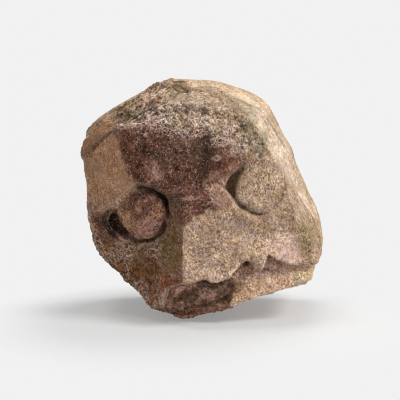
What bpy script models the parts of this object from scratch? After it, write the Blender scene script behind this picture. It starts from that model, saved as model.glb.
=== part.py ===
"""A stone corbel carved as a grotesque head, worn and broken, cut off flat where it meets the wall.

Metres, +Z up, +X to the right as one faces the head, and -Y out of the wall.
The origin is on the flat wall face, behind the point midway between the eyes.
A depth is a distance out from the wall face, so depth d lies at y = -d.
"""

from collections import namedtuple
from math import cos, radians, sin, tan

import bmesh
import bpy
import numpy as np

Facet = namedtuple("Facet", "x z depth turn tip")
Side = namedtuple("Side", "direction reach level flare")
Eye = namedtuple("Eye", "pellet socket groove")
Pit = namedtuple("Pit", "x z radius depth")

# The block's sides: direction round the head (0 is +X, 90 is +Z), distance from the origin at a level
# out from the wall, and how far the side spreads towards the wall, in degrees.
SIDES = (
    Side(110, 0.1262, 0.060, 7),
    Side(104, 0.1230, 0.060, 7),
    Side(76, 0.1155, 0.060, 7),
    Side(60, 0.1130, 0.060, 7),
    Side(46, 0.1165, 0.040, 7),
    Side(31, 0.1142, 0.040, 7),
    Side(13, 0.1040, 0.040, 7),
    Side(-3, 0.1225, 0.080, 6),
    Side(-50, 0.1668, 0.090, 7),
    Side(-87, 0.1223, 0.125, 3),
    Side(-92, 0.1264, 0.125, 3),
    Side(-118, 0.1336, 0.110, 4),
    Side(-147, 0.1284, 0.095, 4),
    Side(-159, 0.1318, 0.095, 4),
    Side(-177, 0.1303, 0.095, 3),
    Side(173, 0.1292, 0.095, 3),
    Side(158, 0.1425, 0.090, 5),
    Side(138, 0.1482, 0.080, 6),
    Side(123, 0.1356, 0.070, 7),
)
SIDE_ARRIS = 0.034  # depth over which the sides round into the front

# Where the left side has worn in, as a height, a spread and a depth, and where the right side swells.
WORN_LEFT = ((-0.088, 0.016, 0.0050), (0.070, 0.018, 0.0010))
SWOLLEN_RIGHT = ((0.020, 0.013, 0.0030),)

# What is broken off under the right of the jaw: how much, from where, how softly,
# and its lowest and highest place.
JAW_BREAK = 0.003
JAW_BREAK_FROM = 0.010
JAW_BREAK_EDGE = 0.008
JAW_BREAK_LOW = -0.100
JAW_BREAK_HIGH = -0.070

# The front's broad faces: a point on each, its depth, and its normal's turn to the right and tip upwards.
FOREHEAD_LEFT = Facet(-0.035, 0.060, 0.1640, -4, 6)
FOREHEAD_RIGHT = Facet(0.035, 0.045, 0.1630, 11, 6)
TOP_LEFT = Facet(-0.045, 0.101, 0.1580, -8, 66)
TOP_MIDDLE = Facet(0.011, 0.0738, 0.1640, 14, 46)
TOP_RIGHT = Facet(0.0408, 0.0542, 0.1620, 35, 28)
TEMPLE = Facet(-0.067, 0.060, 0.1620, -38, -1)
EYE_WEAR = Facet(0.066, 0.010, 0.1550, 25, 4)
UPPER_FACES = (
    FOREHEAD_LEFT,
    FOREHEAD_RIGHT,
    TOP_LEFT,
    TOP_MIDDLE,
    TOP_RIGHT,
    TEMPLE,
    EYE_WEAR,
)
FRONT_ARRIS = 0.005

UNDER_EYE_LEFT = Facet(-0.065, -0.035, 0.1530, -24, -5)
UNDER_EYE_RIGHT = Facet(0.066, -0.035, 0.1560, 20, -2)
INNER_LEFT = Facet(-0.045, -0.030, 0.1575, -12, -3)
INNER_RIGHT = Facet(0.030, 0.005, 0.1590, 4, 10)
LOWER_FACES = (UNDER_EYE_LEFT, UNDER_EYE_RIGHT, INNER_LEFT, INNER_RIGHT, TEMPLE, EYE_WEAR)
CHEEK_ARRIS = 0.008

# The brow's lower edge, from the left temple over both eyes.
BROW_EDGE = (
    (-0.080, 0.037),
    (-0.059, 0.034),
    (-0.047, 0.030),
    (-0.035, 0.023),
    (-0.027, 0.0165),
    (-0.0195, 0.0135),
    (-0.003, 0.0185),
    (0.021, 0.025),
    (0.036, 0.029),
    (0.051, 0.035),
    (0.060, 0.038),
)
BROW_EDGE_DEPTH = 0.1690
BROW_UNDERSIDE = 2.4
FURROW = ((0.0205, 0.067), (0.0136, 0.048), (0.0068, 0.033), (0.0015, 0.022))
FURROW_HALF_WIDTH = 0.0075
FURROW_DEPTH = 0.007
BROW_FILLET = 0.003  # fills the corner where the brow meets the face below it

# The nose: its left flank, the bridge that is left, the broken front and the right flank.
NOSE_LEFT = Facet(-0.0242, -0.0377, 0.1810, -47.7, 15.8)
NOSE_BRIDGE = Facet(-0.002, 0.0039, 0.1680, 10, 16)
NOSE_BREAK = Facet(-0.0242, -0.0377, 0.1810, 14, 7.8)
NOSE_RIGHT = Facet(0.0156, 0.0039, 0.1650, 33, 13.4)
NOSE_FACES = (NOSE_LEFT, NOSE_BRIDGE, NOSE_BREAK, NOSE_RIGHT)
NOSE_ARRIS = 0.002
NOSE_FILLET = 0.004

# Round flat pellets for eyes, each in a socket cut round the side that has not been worn flush.
EYE_RADIUS = 0.0267
PELLET_DROP = 0.0012
PELLET_ARRIS = 0.002
SOCKET_WALL = 0.0016
EYE_LEFT = Eye(
    Facet(-0.0635, -0.0018, 0.1525, -10, 2),
    (
        (-0.0301, 0.0087),
        (-0.0315, 0.0140),
        (-0.0379, 0.0225),
        (-0.0470, 0.0285),
        (-0.0596, 0.0290),
        (-0.0620, 0.0100),
        (-0.0800, 0.0030),
        (-0.0905, 0.0110),
        (-0.0960, 0.0070),
        (-0.1010, 0.0010),
        (-0.1045, -0.0055),
        (-0.1025, -0.0120),
        (-0.0960, -0.0180),
        (-0.0860, -0.0240),
        (-0.0740, -0.0290),
        (-0.0630, -0.0320),
        (-0.0525, -0.0300),
        (-0.0446, -0.0230),
        (-0.0372, -0.0133),
        (-0.0325, -0.0024),
    ),
    0.016,
)
EYE_RIGHT = Eye(
    Facet(0.0662, 0.0009, 0.1550, 14, 2),
    (
        (0.0270, 0.0087),
        (0.0329, 0.0170),
        (0.0407, 0.0228),
        (0.0520, 0.0290),
        (0.0600, 0.0200),
        (0.0640, 0.0000),
        (0.0650, -0.0220),
        (0.0640, -0.0285),
        (0.0590, -0.0275),
        (0.0518, -0.0233),
        (0.0449, -0.0158),
        (0.0387, -0.0070),
        (0.0325, 0.0001),
    ),
    0.018,
)

# The mouth: the broken edge of the upper lip, the edge of the lower jaw, and how deep the mouth is.
LIP_EDGE = (
    (-0.0610, -0.1030),
    (-0.0520, -0.0868),
    (-0.0461, -0.0810),
    (-0.0320, -0.0767),
    (-0.0086, -0.0795),
    (-0.0030, -0.0835),
    (0.0080, -0.0843),
    (0.0170, -0.0811),
    (0.0283, -0.0722),
    (0.0371, -0.0690),
    (0.0429, -0.0775),
    (0.0487, -0.0820),
    (0.0545, -0.0791),
    (0.0594, -0.0680),
    (0.0682, -0.0780),
    (0.0800, -0.0858),
    (0.1039, -0.0955),
)
MOUTH_HOLLOW = (
    (-0.0610, -0.1035),
    (-0.0540, -0.0860),
    (-0.0460, -0.0740),
    (0.0120, -0.0740),
    (0.0160, -0.0850),
    (0.0180, -0.0930),
    (0.0205, -0.0985),
    (0.0165, -0.1050),
    (0.0100, -0.1130),
    (-0.0200, -0.1145),
    (-0.0521, -0.1140),
)
LIP_WALL = 0.0025
HOLLOW_WALL = 0.0030
HOLLOW_LEAST = 0.002  # the least depth of the mouth's hollow below the jaw
MOUTH_FLOOR = Facet(-0.020, -0.100, 0.1430, 6, 18)
JAW_LEFT = Facet(-0.030, -0.116, 0.1560, -14, -4)
JAW_RIGHT = Facet(0.030, -0.108, 0.1545, 14, 10)
UNDER_LIP = Facet(0.030, -0.093, 0.1520, 14, 28)
JAW_END = Side(-10, 0.1215, 0.095, 8)
JAW_ARRIS = 0.006

# Bedding crack at the left temple, above which a slab stands proud.
CRACK_FROM = (-0.074, 0.092)
CRACK_TO = (-0.125, 0.062)
CRACK_END = 0.004
CRACK_FACE = (-0.0006, 0.0010)  # where the crack's steep face begins and ends, across the crack
SLAB_STEP = 0.005
SLAB_OVERHANG = 0.0025
SPLIT_LOW = 0.010
SPLIT_HIGH = 0.045

PITS = (
    Pit(-0.067, -0.061, 0.0055, 0.0045),
    Pit(-0.034, 0.058, 0.0045, 0.0020),
    Pit(0.0355, -0.0745, 0.0055, 0.0120),
)

GRID_STEP = 0.0010
VOXEL = 0.0018
SMOOTHINGS = 2
KEPT_FACES = 0.061
BEHIND_WALL = 0.006
CUTTER_DEPTH = 0.5
CUTTER_WIDTH = 1.0
ROUGHNESS_SIZE = 0.030
ROUGHNESS_DEPTH = 0.0015


def facet_depth(facet, x, z):
    """Depth of a flat face at x and z."""
    out_x = sin(radians(facet.turn)) * cos(radians(facet.tip))
    out_y = cos(radians(facet.turn)) * cos(radians(facet.tip))
    out_z = sin(radians(facet.tip))
    return facet.depth - (out_x * (x - facet.x) + out_z * (z - facet.z)) / out_y


def side_depth(side, x, z):
    """Depth at which one of the block's sides passes x and z."""
    along = x * cos(radians(side.direction)) + z * sin(radians(side.direction))
    return side.level + (side.reach - along) / tan(radians(side.flare))


def lower_of(a, b, arris):
    """The lower of two depths, with the edge between them worn round."""
    near = np.maximum(arris - np.abs(a - b), 0) / arris
    return np.minimum(a, b) - near * near * arris / 4


def higher_of(a, b, fillet):
    """The higher of two depths, with the corner between them filled."""
    return -lower_of(-a, -b, fillet)


def step(low, high, value):
    """0 below low, 1 above high, and a smooth rise between."""
    share = np.clip((value - low) / (high - low), 0, 1)
    return share * share * (3 - 2 * share)


def mix(a, b, share):
    return a + (b - a) * share


def worn_faces(facets, x, z, arris):
    """The solid that lies behind all of these faces."""
    depth = facet_depth(facets[0], x, z)
    for facet in facets[1:]:
        depth = lower_of(depth, facet_depth(facet, x, z), arris)
    return depth


def split_away(x, z):
    """1 on the left temple below the bedding crack, where the stone has split away, 0 on the slab above."""
    from_x, from_z = CRACK_FROM
    to_x, to_z = CRACK_TO
    length = np.hypot(to_x - from_x, to_z - from_z)
    above = ((x - from_x) * (to_z - from_z) - (z - from_z) * (to_x - from_x)) / length
    left_of_forehead = 1 - step(from_x - CRACK_END, from_x + CRACK_END, x)
    return (1 - step(*CRACK_FACE, above)) * left_of_forehead


def block_depth(x, z):
    """The block's sides, with the left side worn in and a piece broken off under the right of the jaw."""
    worn_in = SLAB_OVERHANG * split_away(x, z) * step(SPLIT_LOW, SPLIT_HIGH, z)
    for middle, spread, depth in WORN_LEFT:
        worn_in = worn_in + depth * np.exp(-(((z - middle) / spread) ** 2))
    swollen = 0
    for middle, spread, depth in SWOLLEN_RIGHT:
        swollen = swollen + depth * np.exp(-(((z - middle) / spread) ** 2))
    broken = JAW_BREAK * step(JAW_BREAK_FROM, JAW_BREAK_FROM + JAW_BREAK_EDGE, x)
    broken = broken * (1 - step(JAW_BREAK_LOW, JAW_BREAK_HIGH, z))
    x = np.where(x < 0, x - worn_in, x - swollen)
    z = z - broken
    depth = side_depth(SIDES[0], x, z)
    for side in SIDES[1:]:
        depth = lower_of(depth, side_depth(side, x, z), SIDE_ARRIS)
    return depth


def line_distance(points, x, z, closed=False):
    """Distance to a line of points, and whether each place is inside it when it is closed."""
    points = list(points)
    ends = points[1:] + points[:1] if closed else points[1:]
    distance = np.full_like(x, 1.0)
    inside = np.zeros(x.shape, dtype=bool)
    for (x0, z0), (x1, z1) in zip(points, ends):
        run, rise = x1 - x0, z1 - z0
        share = np.clip(((x - x0) * run + (z - z0) * rise) / (run * run + rise * rise), 0, 1)
        distance = np.minimum(distance, np.hypot(x - x0 - share * run, z - z0 - share * rise))
        crosses = (z0 > z) != (z1 > z)
        if rise:
            inside ^= crosses & (x < x0 + (z - z0) * run / rise)
    return distance, inside


def brow_depth(x, z):
    """Forehead and brow, with the furrow of the frown, down to the brow's lower edge."""
    depth = worn_faces(UPPER_FACES, x, z, FRONT_ARRIS)
    furrow = line_distance(FURROW, x, z)[0] / FURROW_HALF_WIDTH
    depth = depth - FURROW_DEPTH * np.exp(-furrow * furrow)
    underside = BROW_EDGE_DEPTH + BROW_UNDERSIDE * (z - np.interp(x, *zip(*BROW_EDGE)))
    return lower_of(depth, underside, FRONT_ARRIS)


def eye_cut(eye, ground, x, z):
    """Cuts the socket beside one eye and leaves the pellet."""
    face = eye.pellet
    reach = np.hypot(x - face.x, z - face.z)
    distance, inside = line_distance(eye.socket, x, z, closed=True)
    in_socket = step(0, SOCKET_WALL, np.where(inside, distance, -distance))
    pellet = facet_depth(face, x, z)
    floor = np.minimum(pellet, ground) - eye.groove
    hollow = mix(ground, floor, in_socket)
    pellet = lower_of(pellet, ground, PELLET_ARRIS) - PELLET_DROP * (reach / EYE_RADIUS) ** 4
    on_pellet = 1 - step(EYE_RADIUS - SOCKET_WALL / 2, EYE_RADIUS + SOCKET_WALL / 2, reach)
    return mix(hollow, pellet, on_pellet)


def jaw_depth(x, z):
    """The lower jaw, which slopes back under the lip, and the hollow of the mouth in its left half."""
    jaw = worn_faces((JAW_LEFT, JAW_RIGHT, UNDER_LIP), x, z, JAW_ARRIS)
    jaw = lower_of(jaw, side_depth(JAW_END, x, z), SIDE_ARRIS)
    distance, inside = line_distance(MOUTH_HOLLOW, x, z, closed=True)
    floor = np.minimum(facet_depth(MOUTH_FLOOR, x, z), jaw - HOLLOW_LEAST)
    return mix(jaw, floor, step(0, HOLLOW_WALL, np.where(inside, distance, -distance)))


def front_depth(x, z):
    """Depth of the carved front, before the block's sides cut it off."""
    ground = worn_faces(LOWER_FACES, x, z, CHEEK_ARRIS)
    nose = worn_faces(NOSE_FACES, x, z, NOSE_ARRIS)
    ground = higher_of(ground, nose, NOSE_FILLET)
    for eye in (EYE_LEFT, EYE_RIGHT):
        ground = eye_cut(eye, ground, x, z)
    head = higher_of(ground, brow_depth(x, z), BROW_FILLET)
    head = head - SLAB_STEP * split_away(x, z)
    lip_edge = np.interp(x, *zip(*LIP_EDGE))
    above_lip = step(-LIP_WALL, 0, z - lip_edge)
    depth = mix(jaw_depth(x, z), head, above_lip)
    for pit in PITS:
        depth = depth - pit.depth * np.exp(-((x - pit.x) ** 2 + (z - pit.z) ** 2) / pit.radius**2)
    return depth


def stone_depth(x, z):
    return lower_of(front_depth(x, z), block_depth(x, z), SIDE_ARRIS)


def carved_mesh():
    """The front as a fine grid of depths that takes in all the sides, closed behind the wall face."""
    widest = max(side.reach + side.level * tan(radians(side.flare)) for side in SIDES)
    places = np.arange(-widest, widest, GRID_STEP)
    across, up = np.meshgrid(places, places)
    depth = np.maximum(stone_depth(across, up), -4 * BEHIND_WALL)
    mesh = bpy.data.meshes.new("carved_head")
    points = np.stack([across, -depth, up], axis=-1).reshape(-1, 3)
    corner = np.arange(across.size).reshape(across.shape)
    quads = np.stack([corner[:-1, :-1], corner[:-1, 1:], corner[1:, 1:], corner[1:, :-1]], axis=-1)
    mesh.from_pydata(points.tolist(), [], quads.reshape(-1, 4).tolist())
    work = bmesh.new()
    work.from_mesh(mesh)
    everything = work.verts[:] + work.edges[:] + work.faces[:]
    bmesh.ops.bisect_plane(
        work, geom=everything, plane_co=(0, BEHIND_WALL, 0), plane_no=(0, 1, 0), clear_outer=True
    )
    bmesh.ops.holes_fill(work, edges=[edge for edge in work.edges if edge.is_boundary])
    work.to_mesh(mesh)
    work.free()
    return mesh


def wall_cutter():
    """A block that takes off whatever is behind the wall face."""
    bpy.ops.mesh.primitive_cube_add(size=1, location=(0, CUTTER_DEPTH / 2, 0))
    cutter = bpy.context.object
    cutter.name = "wall_cutter"
    cutter.scale = (CUTTER_WIDTH, CUTTER_DEPTH, CUTTER_WIDTH)
    cutter.display_type = "WIRE"
    cutter.hide_render = True
    return cutter


def sandstone():
    material = bpy.data.materials.new("sandstone")
    material.use_nodes = True
    shader = material.node_tree.nodes["Principled BSDF"]
    shader.inputs["Base Color"].default_value = (0.27, 0.19, 0.13, 1)
    shader.inputs["Roughness"].default_value = 0.9
    return material


def build_corbel():
    corbel = bpy.data.objects.new("carved_stone_head", carved_mesh())
    bpy.context.scene.collection.objects.link(corbel)
    corbel.data.materials.append(sandstone())

    remesh = corbel.modifiers.new("even_faces", "REMESH")
    remesh.mode = "VOXEL"
    remesh.voxel_size = VOXEL

    smooth = corbel.modifiers.new("worn_edges", "SMOOTH")
    smooth.factor = 0.5
    smooth.iterations = SMOOTHINGS

    lumps = bpy.data.textures.new("hewn_lumps", "CLOUDS")
    lumps.noise_scale = ROUGHNESS_SIZE
    hewn = corbel.modifiers.new("hewn_surface", "DISPLACE")
    hewn.texture = lumps
    hewn.strength = ROUGHNESS_DEPTH

    reduce = corbel.modifiers.new("fewer_faces", "DECIMATE")
    reduce.ratio = KEPT_FACES

    wall = corbel.modifiers.new("flat_wall_face", "BOOLEAN")
    wall.operation = "DIFFERENCE"
    wall.object = wall_cutter()
    return corbel


def main():
    for obj in list(bpy.data.objects):
        bpy.data.objects.remove(obj)
    build_corbel()


main()
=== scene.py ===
"""The weathered stone corbel: a grotesque head with pellet eyes, in metres, -Y out of the wall, +Z up."""

from collections import namedtuple
from math import cos, radians, sin, tau

import bmesh
import bpy
import numpy as np
from mathutils import Matrix, Vector


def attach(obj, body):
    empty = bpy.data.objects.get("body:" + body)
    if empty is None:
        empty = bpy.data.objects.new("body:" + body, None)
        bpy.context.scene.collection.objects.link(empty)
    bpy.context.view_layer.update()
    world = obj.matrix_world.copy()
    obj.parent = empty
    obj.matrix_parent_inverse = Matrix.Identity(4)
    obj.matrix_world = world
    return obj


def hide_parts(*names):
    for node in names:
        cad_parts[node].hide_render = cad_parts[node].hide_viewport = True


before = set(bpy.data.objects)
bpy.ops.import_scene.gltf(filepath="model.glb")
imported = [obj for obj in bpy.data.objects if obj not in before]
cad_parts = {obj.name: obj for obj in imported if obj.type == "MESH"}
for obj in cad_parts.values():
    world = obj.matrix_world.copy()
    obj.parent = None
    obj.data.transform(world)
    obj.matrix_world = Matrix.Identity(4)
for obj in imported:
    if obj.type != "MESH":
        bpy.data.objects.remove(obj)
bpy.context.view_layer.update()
STONE_NODE = "carved_stone_head"

# The camera's bearing, rise and lean, and its distance from the face.
CAMERA_TURN = 4
CAMERA_RISE = 8
CAMERA_LEAN = 12
CAMERA_DISTANCE = 1.192
CAMERA_AIM = Vector((0, -0.140, 0))
CAMERA_LENS = 100
FLOOR_RISE = 6  # how much more steeply the floor is seen than the head is
FLOOR_FADE = (0.15, 0.26)  # metres from the stone's foot over which the floor fades out
FLOOR_RADIUS = 6
FLOOR_SIDES = 96
FLOOR_GREY = 0.40
FLOOR_ROUGHNESS = 0.9
FLOOR_SHEEN = 0.1
FLOOR_GLOW = 0.26  # keeps the floor's shadows as light as the photographed ones
PALE_GREY = 0.88
ROOM_LIGHT = 0.56
PIXEL_FILTER = 1.1
LIGHT_AIM = Vector((0, -0.09, 0))

# The sizes of the stone's skin.
SKIN_STEP = 0.0011
KEPT_TRIANGLES = 190_000
SKIN_SMOOTHINGS = 6
CREASE_REACH = 14  # smoothing passes that tell hollows from ridges
FLAKE_EDGE = 0.0012
FLAKE_END_POWER = 0.6
GROOVE_RUN_OUT = 0.009
GROOVED_FROM = 0.100  # how far out from the wall face grooves set in
GROOVED_FADE = 0.010
FLAKED_FROM = 0.015  # how far out from the wall face flakes set in
FLAKED_FADE = 0.015
WELD = 1e-6
RING_POINTS = 16
WANDER_FROM = 0.110  # nearer the wall face than this, the marks' outlines wander
WANDER_FROM_ON_TOP = 0.045
WANDER_OVER = 0.045
WANDER_TOP = (0.085, 0.105)  # the heights over which the top's own start takes over
BEDDING_TILT = radians(8)  # the sandstone's beds lie nearly level
BEDDING_STRETCH = (0.40, 1.0, 1.4)

# How the surface breaks up: the bases that the marks add their shares to, and where each effect sets in.
ROUGH_BASE = 0.55
PITTED_BASE = 0.42
LEDGED_BASE = 0.08
OFF_WALL = (0.0005, 0.008)  # metres from the wall face
PIT_EDGE = (0.05, 0.17)
LEDGE_RISER = (0.55, 1.0)  # the share of a step over which it climbs
NOISE_ROUGHNESS = 0.6
MARK_EDGE = 0.006  # how far a mark's own share of these runs out, each way

# The stone's surface and the sizes of its patterns.
STONE_ROUGHNESS = 0.92
STONE_SHEEN = 0.12
EDGE_SCALE = 90
LACE_SIZE = 0.0036
THREAD_SIZE = 0.0060
BED_STREAK_SCALE = 170
GRAIN_SIZE = 0.0014
FLECK_SCALE = 800
GRAIN_BUMP = 0.0006
GRAIN_BUMP_STRENGTH = 0.7
SHADY_SIDE_SCALE = 42
SUNNY_SIDE_SCALE = 48
BODY_SCALE = 85
CUT_STONE_SCALE = 24
STAIN_RAGGED = 2.4
STAIN_EDGE = (1.25, 0.55)  # shares of the way out
MOTTLE_EDGE = (0.34, 0.66)
LACE_THREAD = (0.18, 0.05)
LACE_WARP = 0.008
LACE_WARP_SCALE = 160
SINGLE_GRAIN = (0.62, 0.30)
PALE_SHARE = 0.12
DARK_SHARE = 0.18
LEAST_GRAINY = 0.9

Mark = namedtuple("Mark", "name outline")
Groove = namedtuple("Groove", "line half_width depth")
Flake = namedtuple("Flake", "edge depth reach")
Tone = namedtuple("Tone", "mark dark light scale soft ragged")
Stain = namedtuple("Stain", "x z across up turn colour strength")
Light = namedtuple("Light", "name place size power")

# The lights, placed right, up and back of the camera, with their width and power.
LIGHTS = (
    Light("key", (1.65, 1.60, 1.05), 0.95, 51),
    Light("second", (-0.45, 1.35, 0.20), 0.45, 5),
    Light("overhead", (0.30, 1.35, -0.45), 0.80, 9),
)


def millimetres(*values):
    return tuple((x / 1000, z / 1000) for x, z in values)


def ring(x, z, radius):
    turns = [tau * k / RING_POINTS for k in range(RING_POINTS)]
    return tuple((x + radius * cos(turn), z + radius * sin(turn)) for turn in turns)


# Grooves and steps finer than the solid's, as lines seen from the front.
GROOVES = (
    Groove(
        millimetres(
            (-38, -10), (-42, -19), (-49, -27), (-56, -30), (-64, -31), (-74, -30), (-86, -25),
            (-97, -15),
        ),
        0.0024,
        0.0095,
    ),
    Groove(millimetres((-68, 29), (-56, 28), (-45, 22), (-36, 10), (-34, -4), (-38, -16)), 0.0024, 0.0085),
    Groove(millimetres((-70, 93), (-84, 88), (-93, 82), (-104, 75), (-126, 62)), 0.0017, 0.0040),
    Groove(millimetres((34, -2), (44, -14), (52, -22), (60, -26.5), (66, -27), (73, -24)), 0.0018, 0.0060),
    Groove(millimetres((-48, -80), (-50, -84), (-55, -92), (-60, -102)), 0.0025, 0.0060),
    Groove(millimetres((-8, -26), (-8, -60)), 0.0100, 0.0008),
    Groove(
        millimetres(
            (-62, -104), (-54, -112), (-40, -115), (-20, -116), (2, -117), (12, -112),
        ),
        0.0055,
        0.0060,
    ),
)

# Flakes split off the stone, each on the left of its edge as one goes along it.
FLAKES = (
    Flake(
        millimetres(
            (-108, 97), (-94, 101), (-80, 100), (-66, 98), (-54, 96), (-44, 98), (-34, 103),
            (-22, 106),
        ),
        0.0048,
        0.009,
    ),
    Flake(millimetres((-26, 119), (-38, 113), (-50, 109), (-64, 106), (-82, 106), (-98, 104)), 0.0045, 0.008),
    Flake(millimetres((-24, 124), (-36, 120), (-50, 115), (-62, 113), (-76, 110)), 0.0036, 0.006),
    Flake(millimetres((13, 113), (8, 117), (4, 122), (-3, 123), (-8, 127)), 0.0048, 0.007),
    Flake(millimetres((3, 116), (-3, 118), (-7, 117), (-15, 121)), 0.0034, 0.005),
    Flake(millimetres((-12, 112), (-4, 115), (6, 114), (16, 108)), 0.0032, 0.006),
    Flake(millimetres((24, -14), (16, -6), (6, -9), (-5, -12), (-14, -17), (-24, -23)), 0.0026, 0.008),
    Flake(millimetres((-52, 38), (-58, 44), (-61, 52), (-60, 58)), 0.0018, 0.005),
    Flake(millimetres((-103, 9), (-111, 2), (-114, -7), (-109, -14), (-105, -23), (-95, -31)), 0.0045, 0.008),
    Flake(millimetres((73, -23), (81, -19), (88, -14), (92, -8), (94, 2), (94, 12), (90, 22)), 0.0024, 0.006),
    Flake(millimetres((-50, -62), (-58, -58), (-68, -56), (-76, -60)), 0.0022, 0.005),
    Flake(millimetres((-44, -72), (-58, -70), (-74, -74), (-90, -72)), 0.0016, 0.005),
    Flake(millimetres((-50, -84), (-62, -82), (-76, -84), (-88, -80)), 0.0018, 0.005),
    Flake(millimetres((-58, -94), (-68, -91), (-80, -92)), 0.0016, 0.004),
)

# The outlines of what the weather has left on the front, seen from the front.
MARKS = (
    Mark(
        "forehead_patina",
        millimetres(
            (-74, 98), (-60, 97), (-45, 95), (-30, 96), (-20, 92), (-12, 84), (-3, 77), (5, 77), (15, 75),
            (25, 72), (33, 64), (40, 57), (48, 50), (52, 42), (58, 36), (58, 31), (50, 33), (35, 30),
            (20, 26), (10, 24), (12, 10), (15, -2), (14, -6), (5, -9), (-5, -12), (-14, -17), (-22, -22),
            (-24, -10), (-21, 0), (-25, 8), (-30, 12), (-35, 20), (-45, 27), (-58, 30), (-62, 36),
            (-66, 46), (-69, 60),
        ),
    ),
    Mark(
        "temple_scar",
        millimetres(
            (-72, 88), (-80, 88), (-88, 84), (-98, 78), (-108, 72), (-121, 64), (-128, 50), (-128, 30),
            (-122, 20), (-108, 13), (-95, 12), (-88, 18), (-80, 22), (-66, 28), (-62, 36), (-66, 46),
            (-69, 60),
        ),
    ),
    Mark(
        "slab",
        millimetres(
            (-72, 98), (-74, 90), (-88, 86), (-98, 80), (-121, 66), (-130, 70), (-126, 94),
            (-110, 101),
        ),
    ),
    Mark(
        "mossy_top",
        millimetres(
            (-126, 94), (-110, 101), (-72, 98), (-45, 96), (-30, 97), (-16, 100), (-14, 115), (-25, 140),
            (-70, 140), (-130, 110),
        ),
    ),
    Mark(
        "speckled_top",
        millimetres(
            (-30, 97), (-20, 92), (-12, 84), (-3, 77), (15, 75), (25, 72), (33, 64), (48, 50), (56, 38),
            (66, 30), (76, 26), (82, 45), (76, 62), (67, 80), (56, 96), (40, 110), (20, 124), (0, 140),
            (-30, 140), (-18, 112),
        ),
    ),
    Mark(
        "side_band",
        millimetres(
            (20, 124), (40, 110), (56, 96), (67, 80), (76, 62), (82, 45), (88, 25), (95, 5), (104, -15),
            (106, -35), (112, -48), (150, -48), (150, 150), (0, 150),
        ),
    ),
    Mark(
        "left_flank",
        millimetres(
            (-30, 8), (-25, 6), (-21, 0), (-24, -10), (-22, -22), (-24, -38), (-28, -56), (-31, -70),
            (-40, -68), (-50, -66), (-54, -55), (-52, -40), (-50, -28), (-44, -22), (-37, -12), (-33, -2),
        ),
    ),
    Mark(
        "broken_nose",
        millimetres(
            (-22, -22), (-14, -17), (-5, -12), (5, -9), (14, -6), (20, -10), (28, -22), (36, -36),
            (44, -50), (42, -62), (34, -68), (28, -71), (17, -80), (8, -86), (-3, -86), (-9, -82),
            (-31, -80), (-31, -72), (-28, -56), (-24, -38),
        ),
    ),
    Mark(
        "eyelid",
        millimetres(
            (10, 24), (20, 27), (35, 31), (50, 34), (52, 29), (41, 22), (33, 16), (28, 9), (30, 2),
            (36, -5), (30, -14), (22, -10), (16, -4), (16, 10),
        ),
    ),
    Mark("left_pellet", ring(-0.0635, -0.0018, 0.027)),
    Mark("right_pellet", ring(0.0662, 0.0009, 0.028)),
    # Under the brow over the left eye: painted shade with some dirt.
    Mark(
        "brow_underside",
        millimetres(
            (-64, 38), (-55, 34), (-45, 31), (-35, 25), (-28, 18), (-24, 8), (-22, 0), (-26, -3), (-31, -6),
            (-35, -12), (-36, -2), (-37, 5), (-40, 12), (-44, 17), (-50, 22), (-57, 25), (-61, 30),
        ),
    ),
    Mark(
        "lace",
        millimetres(
            (-66, 96), (-50, 88), (-34, 86), (-16, 82), (0, 72), (22, 68), (34, 56), (50, 46), (58, 34),
            (70, 30), (78, 40), (70, 56), (58, 72), (48, 88), (34, 102), (12, 112), (-12, 112), (-34, 106),
            (-52, 98),
        ),
    ),
    # The pocket left of the left pellet: painted shadow cast by the pellet, and dirt.
    Mark(
        "pocket",
        millimetres(
            (-128, 8), (-108, 8), (-94, 12), (-92, -8), (-80, -30), (-95, -30), (-120, -22),
        ),
    ),
    Mark(
        "lip_corner",
        millimetres(
            (-31, -70), (-31, -78), (-45, -82), (-52, -90), (-62, -88), (-64, -76), (-52, -66),
        ),
    ),
    Mark(
        "left_cheek",
        millimetres(
            (-50, -28), (-52, -40), (-54, -55), (-52, -66), (-64, -76), (-62, -88), (-58, -100), (-62, -130),
            (-150, -130), (-150, -10), (-120, -22), (-95, -30), (-78, -34), (-64, -34),
        ),
    ),
    Mark(
        "pink_cheek",
        millimetres(
            (60, -54), (75, -50), (92, -58), (96, -78), (90, -90), (76, -86), (66, -77), (60, -67),
        ),
    ),
    Mark("green_cheek", millimetres((94, -46), (114, -48), (116, -78), (100, -84), (93, -62))),
    Mark(
        "mouth",
        millimetres(
            (-60, -90), (-50, -84), (-30, -77), (-8, -79), (8, -84), (14, -82), (17, -92), (20, -98),
            (15, -106), (8, -114), (-52, -114), (-60, -103),
        ),
    ),
    Mark(
        "under_lip",
        millimetres(
            (14, -82), (28, -70), (37, -66), (43, -76), (49, -80), (55, -76), (59, -64), (69, -79),
            (80, -87), (92, -95), (70, -93), (40, -95), (21, -100), (17, -92),
        ),
    ),
    Mark(
        "jaw",
        millimetres(
            (21, -100), (40, -95), (70, -92), (110, -95), (115, -130), (8, -130), (9, -113),
            (15, -106),
        ),
    ),
    Mark("jaw_end", millimetres((82, -96), (120, -96), (120, -130), (74, -130))),
    Mark("jaw_rim", millimetres((-62, -110), (-52, -113), (8, -114), (12, -135), (-70, -135))),
    # A paler sheen on the left brow: painted highlight.
    Mark("brow_shine", millimetres((-46, 50), (-36, 50), (-30, 38), (-38, 34), (-44, 40))),
    # Darker in the furrow between the brows.
    Mark(
        "darker_furrow",
        millimetres(
            (-4, 18), (5, 20), (15, 34), (26, 50), (30, 62), (22, 72), (10, 70), (8, 54), (-2, 38),
            (-10, 26),
        ),
    ),
)

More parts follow.
